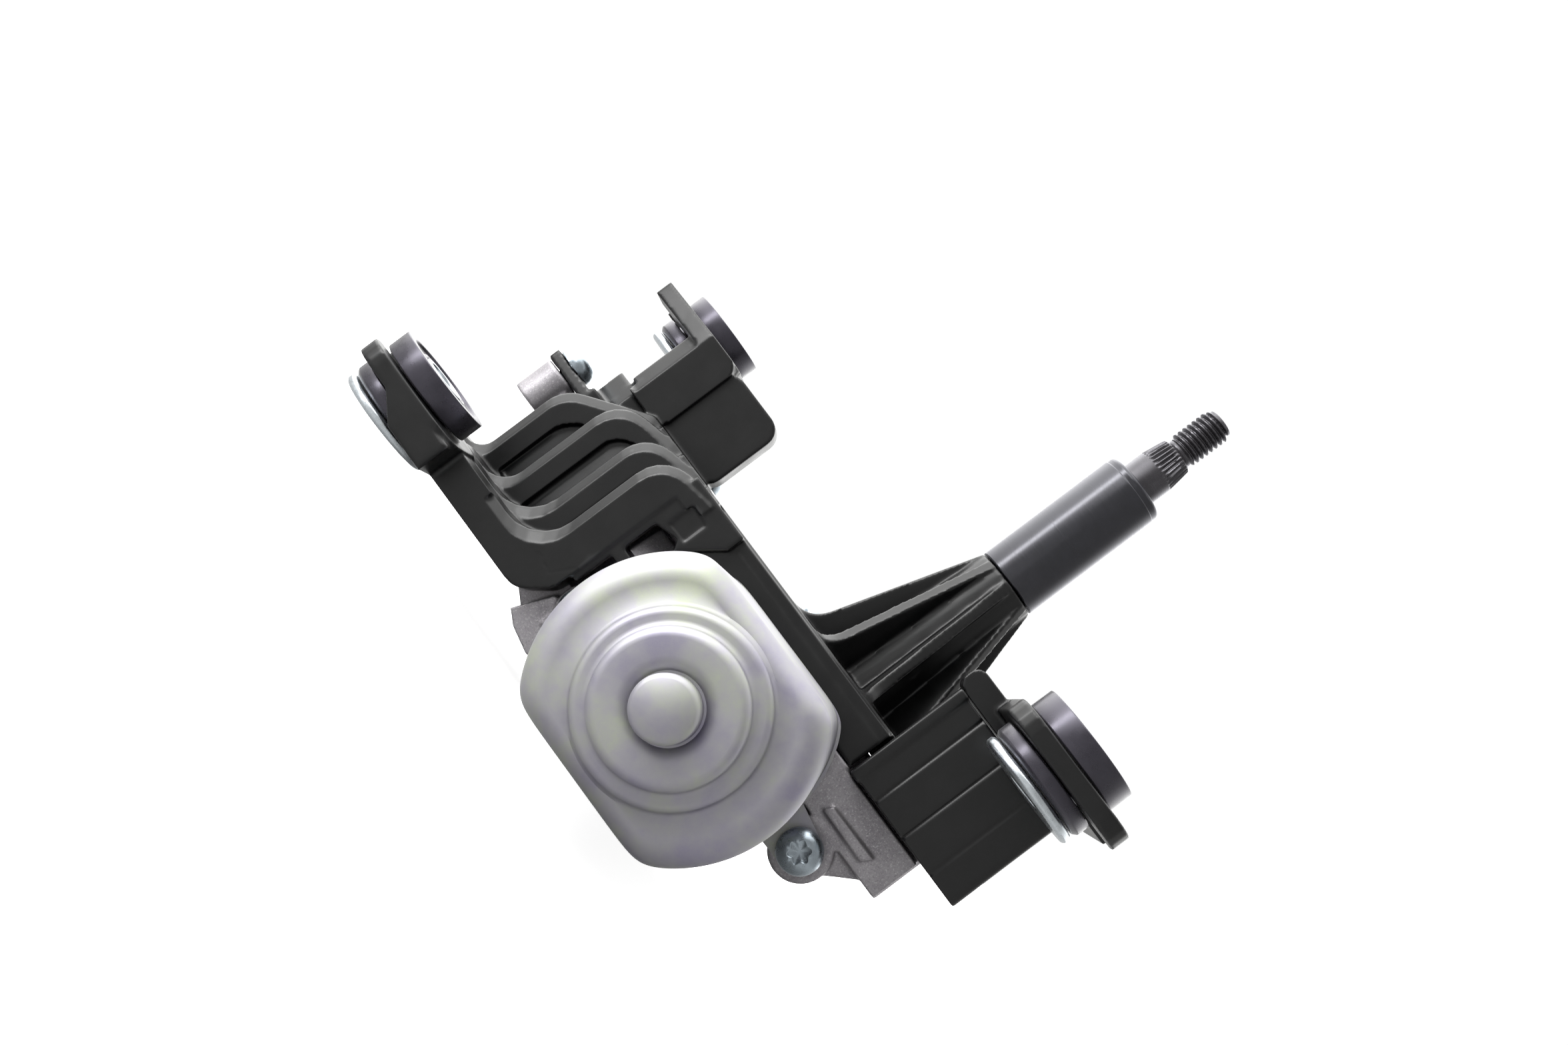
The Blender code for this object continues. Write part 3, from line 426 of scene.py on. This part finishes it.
def motor_can():
    """The drawn can: stepped bearing cup, rolled corner, two flats and a flange with two ears."""
    middle, _ = centre_of("magnet_left")
    other, _ = centre_of("magnet_right")
    x, z = (middle.x + other.x) / 2, middle.z
    low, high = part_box("motor_can")
    front, back = low.y / MM, high.y / MM
    radius, wall, corner, flat = 26.25, 1.7, 5.2, 20.4
    face = back - 77.7
    profile = [(0, front), (4.9, front), (5.7, front + 0.8), (5.8, face - 7.3)]
    profile += arc((8.6, face - 5.8), 2.8, -148, -90, 4) + [(11.6, face - 8.6)]
    profile += arc((11.6, face - 6.8), 1.8, -90, 0, 5)
    profile += [(13.4, face - 4.6)]
    profile += arc((14.6, face - 4.6), 1.2, 180, 90, 4)
    profile += [(15.4, face - 3.4)]
    profile += arc((15.4, face - 2.0), 1.4, -90, 0, 5)
    profile += [(16.8, face - 0.9), (17.6, face)]
    profile += arc((radius - corner, face + corner), corner, -90, 0, 12)
    profile += [(radius, back - 2.4), (radius + 0.15, back - 2.2), (27.0, back - 2.2)]
    profile += [(27.0, back), (radius - wall, back)]
    profile += arc((radius - corner, face + corner), corner - wall, 0, -90, 6)
    profile += [(14.8, face + 1.8), (14.8, face - 1.4), (11.6, face - 2.6), (11.6, face - 6.8)]
    profile += [(4.2, face - 6.8), (4.2, front + 1.8), (0, front + 1.8)]

    def flats(reach, height, angle):
        """Pulls the wall in to the flats, with a small blend at their ends."""
        if reach < 18.0:
            return reach
        level = flat - (radius - min(reach, radius)) * 0.75
        if reach < radius - 1.0 and height > face + corner:
            level = flat - wall
        cut = level / max(1e-6, abs(math.sin(angle)))
        sharpness = 26.0
        return (reach ** -sharpness + cut ** -sharpness) ** (-1 / sharpness)

    can = turned(profile, along_y(x, 0, z), 224, flats)
    made = finish_piece("can_shell", can, "zinc_steel", HOUSING, ("motor_can",), sharp=50)
    for index in (1, 2):
        ear(index, x, z, back)
    return made


def ear(index, x, z, back):
    """The flange's ear under one can screw, meeting the flange's rim."""
    middle, _ = centre_of(f"can_screw_{index}")
    aim = Vector((middle.x - x, middle.z - z))
    turn = math.atan2(aim.y, aim.x)
    outline = []
    for step in range(17):
        angle = turn + math.radians(-90 + 180 * step / 16)
        outline.append((middle.x + 4.75 * math.cos(angle), middle.z + 4.75 * math.sin(angle)))
    inward, across = aim.normalized(), Vector((-aim.y, aim.x)).normalized()
    root = Vector((x, z)) + inward * 26.0
    outline += [tuple(root + across * 5.6), tuple(root - across * 5.6)]
    shape = bmesh.new()
    base = [shape.verts.new((a, back - 1.75, b)) for a, b in outline]
    made = bmesh.ops.extrude_face_region(shape, geom=[shape.faces.new(base)])
    moved = [item for item in made["geom"] if isinstance(item, bmesh.types.BMVert)]
    bmesh.ops.translate(shape, verts=moved, vec=(0, 1.75, 0))
    bmesh.ops.bevel(shape, geom=list(shape.edges), offset=0.25, segments=2, affect="EDGES")
    finish_piece(f"can_ear_{index}", shape, "zinc_steel", HOUSING)


def grommet(name):
    """Two flanges on a neck, with softened lips."""
    node_name = f"grommet_{name}"
    middle, half = centre_of(node_name)
    low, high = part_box(node_name)
    bottom, top = low.z / MM, high.z / MM
    flange, thick = half.x, {"rear": 4.3}.get(name, 5.25)
    plate_low, plate_high = bottom + 3.6, top - thick - 0.1
    bore, neck = 5.75, 7.9
    profile = [(bore, bottom), (flange - 0.9, bottom), (flange, bottom + 0.9), (flange, plate_low)]
    profile += [(neck, plate_low), (neck, plate_high), (flange - 0.4, plate_high)]
    profile += [(flange, plate_high + 0.25), (flange, top), (bore + 4.2, top)]
    profile += [(bore + 3.9, top - 0.7), (bore + 1.2, top - 0.7)]
    profile += [(bore + 0.6, top - 0.2), (bore, top - 0.5)]
    shape = turned(softened(profile), along_z(middle.x, middle.y), 112)
    return finish_piece(f"rubber_{name}", shape, "rubber", HOUSING, (node_name,))


def sleeve(name):
    """The steel spacer: a plain tube with a broad rounded washer at its foot."""
    node_name = f"sleeve_{name}"
    middle, half = centre_of(node_name)
    low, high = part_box(node_name)
    foot, top, rim = low.z / MM, high.z / MM, half.x
    profile = [(4.2, foot), (rim - 0.6, foot), (rim, foot + 0.55), (rim, foot + 1.65)]
    profile += [(rim - 0.6, foot + 2.2), (5.4, foot + 2.2), (5.4, top), (4.2, top)]
    shape = turned(softened(profile), along_z(middle.x, middle.y), 112)
    # painted highlight: the spacers take the lighter copy of the bright steel finish
    finish = SPACER_PAINTED_HIGHLIGHT_FINISH
    return finish_piece(f"spacer_{name}", shape, "bright_steel", HOUSING, (node_name,), finish)


def screw_head(node_name, radius, head, shank, axis):
    """A pan-head screw with a six-lobe recess, over its CAD node."""
    low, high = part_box(node_name)
    middle, _ = centre_of(node_name)
    if axis == "y":
        where = along_y(middle.x, low.y / MM + head, middle.z)
        length = (high.y - low.y) / MM - head
    else:
        where = along_z(middle.x, middle.y, high.z / MM - head) @ Matrix.Rotation(math.pi, 4, "X")
        length = (high.z - low.z) / MM - head
    lobe = 0.41 * radius
    profile = [(0, 0.42 - head + 1.7), (0.7 * lobe, -head + 2.0), (lobe, -head + 1.8)]
    profile += [(lobe + 0.02, -head + 0.12), (lobe + 0.3, -head)]
    profile += [(0.62 * radius, -head + 0.10), (0.80 * radius, -0.82 * head)]
    profile += [(0.93 * radius, -0.58 * head), (radius, -0.3 * head), (radius, -0.1)]
    profile += [(radius - 0.1, 0), (shank, 0)]
    pitch = 2 * shank / 5
    for step in range(int((length - 1.6) / pitch)):
        profile += [(shank, 0.8 + pitch * step), (shank - 0.3, 0.8 + pitch * (step + 0.5))]
    profile += [(shank - 0.9, length), (0, length)]

    def lobes(reach, height, angle):
        if 0 < reach < lobe + 0.1 and height < 0:
            return reach * (1 + 0.15 * math.cos(6 * angle))
        if abs(reach - lobe - 0.3) < 0.01 and height < 0:
            return reach + 0.15 * lobe * math.cos(6 * angle)
        return reach

    shape = turned(profile, where, 96, lobes)
    return finish_piece(f"{node_name}_detail", shape, "bright_steel", HOUSING, (node_name,), sharp=30)


def spindle():
    """The spindle: ground shank, conical knurl, undercut and a real M8 helix."""
    low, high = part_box("spindle")
    foot, top = low.z / MM, high.z / MM
    shank, knurl_low, knurl_top, thread_low = 5.03, 79.5, 85.3, 86.3
    flutes, pitch, crest, root = 28, 1.25, 3.96, 3.24
    profile = [(0, foot), (shank - 0.5, foot), (shank, foot + 0.5), (shank, knurl_low - 0.3)]
    profile += [(shank - 0.16, knurl_low), (shank - 0.05, knurl_low + 0.2)]
    for step in range(1, 9):
        t = step / 8
        profile.append((shank - 0.05 - 0.72 * t, knurl_low + 0.2 + (knurl_top - knurl_low - 0.6) * t))
    profile += [(3.75, knurl_top), (3.35, knurl_top + 0.35), (3.35, thread_low - 0.2)]
    steps = 150
    for step in range(steps + 1):
        profile.append((crest, thread_low + (top - 0.6 - thread_low) * step / steps))
    profile += [(3.2, top - 0.15), (3.0, top), (1.4, top), (1.1, top - 0.7), (0, top - 1.2)]

    def cut(reach, height, angle):
        if knurl_low < height < knurl_top and reach > 4.0:
            wave = abs(((angle * flutes / (2 * math.pi)) % 1.0) - 0.5) * 2
            ease = min(1.0, (height - knurl_low) / 0.5, (knurl_top - 0.3 - height) / 0.4)
            return reach - 0.5 * max(0.0, ease) * (1 - min(1.0, wave * 1.3)) ** 0.8
        if reach == crest and height >= thread_low:
            phase = (height / pitch - angle / (2 * math.pi)) % 1.0
            tooth = max(0.0, min(1.0, 1.35 - abs(phase - 0.5) * 3.1))
            ease = min(1.0, (height - thread_low) / 0.8)
            taper = 1.0 - 0.16 * max(0.0, (height - (top - 1.7)) / 1.1)
            return (root + (crest - root) * tooth * ease) * min(1.0, taper)
        return reach

    shape = turned(profile, along_z(), 192, cut)
    finish = SPINDLE_FINISH
    return finish_piece("spindle_detail", shape, "black_steel", SPINDLE, ("spindle",), finish, 48)


def spindle_tube():
    low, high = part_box("spindle_tube")
    foot, top = low.z / MM, high.z / MM
    shoulder = top - 35.0
    profile = [(5.35, foot), (6.2, foot), (6.2, shoulder), (7.95, shoulder), (8.1, shoulder + 0.25)]
    profile += [(8.1, top - 2.1), (7.96, top - 1.95), (7.96, top - 1.7)]
    profile += arc((7.0, top - 1.0), 1.0, 0, 90, 5)
    profile += [(6.7, top), (6.7, top - 13.6), (5.35, top - 13.6)]
    shape = turned(softened(profile, 0.18), along_z(), 128)
    return finish_piece("tube_detail", shape, "black_steel", HOUSING, ("spindle_tube",))


# ---------------------------------------------------------------- moulded and cast bodies


def evaluated(made):
    """The object's mesh with its modifiers applied; the object itself goes."""
    mesh = bpy.data.meshes.new_from_object(made.evaluated_get(bpy.context.evaluated_depsgraph_get()))
    bpy.data.objects.remove(made)
    return mesh


def temporary(shape):
    mesh = bpy.data.meshes.new("temporary")
    shape.to_mesh(mesh)
    shape.free()
    made = bpy.data.objects.new("temporary", mesh)
    bpy.context.scene.collection.objects.link(made)
    return made


def moulded(node_name, slot, body, voxel):
    """The CAD node's shape with all its edges and corners run soft."""
    shape = bmesh.new()
    shape.from_mesh(frame["nodes"][node_name].data)
    bmesh.ops.remove_doubles(shape, verts=shape.verts, dist=2e-6)
    made = temporary(shape)
    run = made.modifiers.new("run", "REMESH")
    run.mode, run.voxel_size, run.use_smooth_shade = "VOXEL", voxel * MM, True
    soft = made.modifiers.new("soft", "SMOOTH")
    soft.factor, soft.iterations = 0.5, 3
    thin = made.modifiers.new("thin", "DECIMATE")
    thin.ratio = KEPT_FACES
    mesh = evaluated(made)
    mesh.name = f"{node_name}_moulded"
    mesh.shade_smooth()
    mesh.materials.clear()
    mesh.materials.append(FINISHES[slot])
    piece = bpy.data.objects.new(f"{node_name}_moulded", mesh)
    bpy.context.scene.collection.objects.link(piece)
    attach(piece, body)
    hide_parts(node_name)
    return piece


def finish_nodes():
    """Every CAD node takes the detailed finish of its slot."""
    slots = {entry["node"]: entry["material_slot"] for entry in frame["record"]["subparts"]}
    for name, made in frame["nodes"].items():
        made.data.materials.clear()
        made.data.materials.append(FINISHES[slots[name]])


# ---------------------------------------------------------------- stage


def by_camera(tree, lighting, seen, out):
    """One shader for the light that reaches the unit, another for the backdrop as it is seen."""
    path = node(tree, "ShaderNodeLightPath")
    choose = node(tree, "ShaderNodeMixShader")
    tree.links.new(path.outputs["Is Camera Ray"], choose.inputs["Fac"])
    tree.links.new(lighting, choose.inputs[1])
    tree.links.new(seen, choose.inputs[2])
    tree.links.new(choose.outputs["Shader"], out.inputs["Surface"])


def stage():
    """A broad white floor under the unit."""
    low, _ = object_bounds()
    shape = bmesh.new()
    bmesh.ops.create_circle(shape, cap_ends=True, segments=96, radius=6.0)
    mesh = bpy.data.meshes.new("floor")
    shape.to_mesh(mesh)
    shape.free()
    floor = bpy.data.objects.new("floor", mesh)
    floor.location.z = low[2] - FLOOR_DROP
    bpy.context.scene.collection.objects.link(floor)
    made, tree, shader = new_material("floor_white")
    shader.inputs["Base Color"].default_value = (0.93, 0.93, 0.93, 1)
    shader.inputs["Roughness"].default_value = 0.9
    shader.inputs["Emission Color"].default_value = (1, 1, 1, 1)
    shader.inputs["Emission Strength"].default_value = 0.62
    dim = node(tree, "ShaderNodeBsdfDiffuse")
    dim.inputs["Color"].default_value = (0.35, 0.35, 0.35, 1)
    by_camera(tree, dim.outputs["BSDF"], shader.outputs["BSDF"], tree.nodes["Material Output"])
    mesh.materials.append(made)
    floor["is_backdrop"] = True


def facing(tree, direction, towards, low, high, to_low, to_high):
    """A smooth rise of brightness towards one side of the tent."""
    made = node(tree, "ShaderNodeVectorMath", operation="DOT_PRODUCT")
    tree.links.new(direction, made.inputs[0])
    made.inputs[1].default_value = towards.normalized()
    rise = span(tree, made.outputs["Value"], low, high, to_low, to_high)
    rise.node.interpolation_type = "SMOOTHSTEP"
    return rise


def world():
    """A light tent: bright above and behind, dimmer on the viewer's side."""
    made = bpy.data.worlds.new("tent")
    bpy.context.scene.world = made
    made.use_nodes = True
    tree = made.node_tree
    tree.nodes.clear()
    where = node(tree, "ShaderNodeTexCoord")
    above = facing(tree, where.outputs["Generated"], UPRIGHT, 0.42, 0.96, 0.0, 3.6)
    behind = facing(tree, where.outputs["Generated"], Vector((0, 1, 0)), 0.0, 1.0, 0.0, 2.0)
    level = maths(tree, "ADD", maths(tree, "ADD", above, behind), 0.5)
    lit = node(tree, "ShaderNodeBackground")
    lit.inputs["Color"].default_value = (1.0, 1.0, 0.99, 1)
    tree.links.new(level, lit.inputs["Strength"])
    white = node(tree, "ShaderNodeBackground")
    white.inputs["Color"].default_value = (1, 1, 1, 1)
    white.inputs["Strength"].default_value = 1.05
    out = node(tree, "ShaderNodeOutputWorld")
    by_camera(tree, lit.outputs["Background"], white.outputs["Background"], out)


def area_light(name, where, target, size, power):
    data = bpy.data.lights.new(name, "AREA")
    data.shape = "RECTANGLE"
    data.size, data.size_y = size
    data.energy = power
    made = bpy.data.objects.new(name, data)
    made.location = where
    made.rotation_euler = (Vector(target) - Vector(where)).to_track_quat("-Z", "Y").to_euler()
    bpy.context.scene.collection.objects.link(made)


def lights():
    middle = Vector((-0.02, -0.02, 0.0))
    up = UPRIGHT.normalized()
    right = AIM.cross(UPRIGHT).normalized()
    area_light("top_softbox", middle + up * 0.5 - AIM * 0.28, middle, (0.5, 0.12), 0.6)
    area_light("strip", (-0.474, -0.27, 0.1), (0, 0, 0.04), (0.11, 0.36), 1.6)
    area_light("right_softbox", middle + right * 0.6 + up * 0.15 - AIM * 0.1, middle, (0.35, 0.5), 0.35)
    front = middle - AIM * 0.75 + up * 0.25 - right * 0.1
    area_light("front_softbox", front, middle, (0.45, 0.3), 0.12)


def camera():
    """The eye sits on the motor's side; the spindle points up and right."""
    forward = AIM.normalized()
    right = forward.cross(UPRIGHT).normalized()
    up = right.cross(forward)
    data = bpy.data.cameras.new("camera")
    data.sensor_width = SENSOR
    data.lens = FOCAL_PIXELS / IMAGE_WIDTH * SENSOR
    data.clip_start = 0.01
    made = bpy.data.objects.new("camera", data)
    turn = Matrix((right, up, -forward)).transposed().to_4x4()
    made.matrix_world = Matrix.Translation(EYE) @ turn
    bpy.context.scene.collection.objects.link(made)
    bpy.context.scene.camera = made
    bpy.context.scene.view_settings.view_transform = "Standard"


def main():
    finish_nodes()
    motor_can()
    for name in ("left", "right", "rear"):
        grommet(name)
        sleeve(name)
    for index in (1, 2):
        screw_head(f"can_screw_{index}", 4.9, 3.4, 2.35, "y")
    for index in (1, 2, 3, 4):
        screw_head(f"cover_screw_{index}", 4.0, 2.8, 1.8, "z")
    screw_head("lug_screw", 4.6, 3.4, 1.7, "z")
    spindle()
    spindle_tube()
    moulded("carrier", "glass_nylon", HOUSING, 0.4)
    moulded("gear_housing", "cast_aluminium", HOUSING, 0.4)
    moulded("connector_housing", "glass_nylon", HOUSING, 0.35)
    moulded("connector_lid", "glass_nylon", HOUSING, 0.25)
    stage()
    world()
    lights()
    camera()


main()
